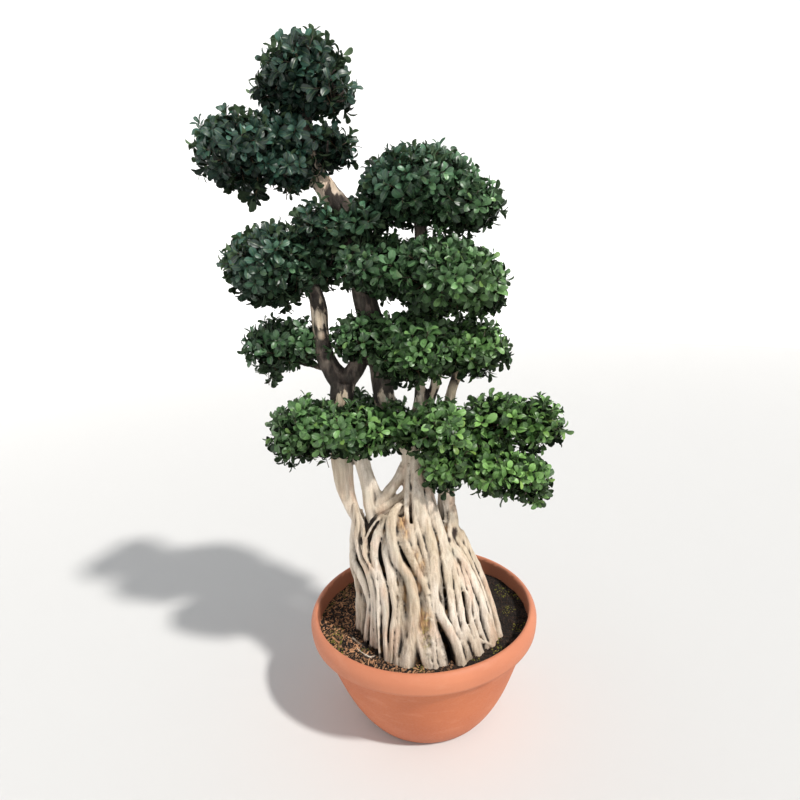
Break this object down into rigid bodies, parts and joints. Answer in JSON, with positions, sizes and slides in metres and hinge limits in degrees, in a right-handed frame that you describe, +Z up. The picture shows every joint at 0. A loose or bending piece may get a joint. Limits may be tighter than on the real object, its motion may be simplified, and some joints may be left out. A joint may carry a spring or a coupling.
{
  "type": "rubber plant bonsai",
  "caption": "Tall potted fig bonsai: a curtain of fused roots and leaning stems rises from soil in a bowl pot and carries tiers of clipped, rounded leaf pads.",
  "frame": {"origin": "Middle of the pot's flat underside, where the part stands on a floor.", "axes": "+Z up along the tree, +X to the right as seen from the front, and the front of the tree faces -Y."},
  "size_m": [0.9828, 0.7, 1.9708],
  "materials": {
    "pot_plastic": "satin",
    "potting_mix": "matte",
    "bark": "matte",
    "leaf_dark": "satin",
    "leaf_mid": "satin"
  },
  "bodies": {
    "root": {"pot": "pot_plastic", "soil": "potting_mix", "trunk": "bark", "pad_apex": "leaf_dark", "pad_upper_left": "leaf_dark", "pad_upper_right": "leaf_dark", "pad_behind": "leaf_dark", "pad_middle_left": "leaf_dark", "pad_middle_right": "leaf_mid", "pad_lower_left": "leaf_mid", "pad_lower_right": "leaf_mid", "pad_low_left": "leaf_mid", "pad_low_back": "leaf_mid", "pad_low_middle": "leaf_mid", "pad_low_right": "leaf_mid"}
  },
  "joints": []
}
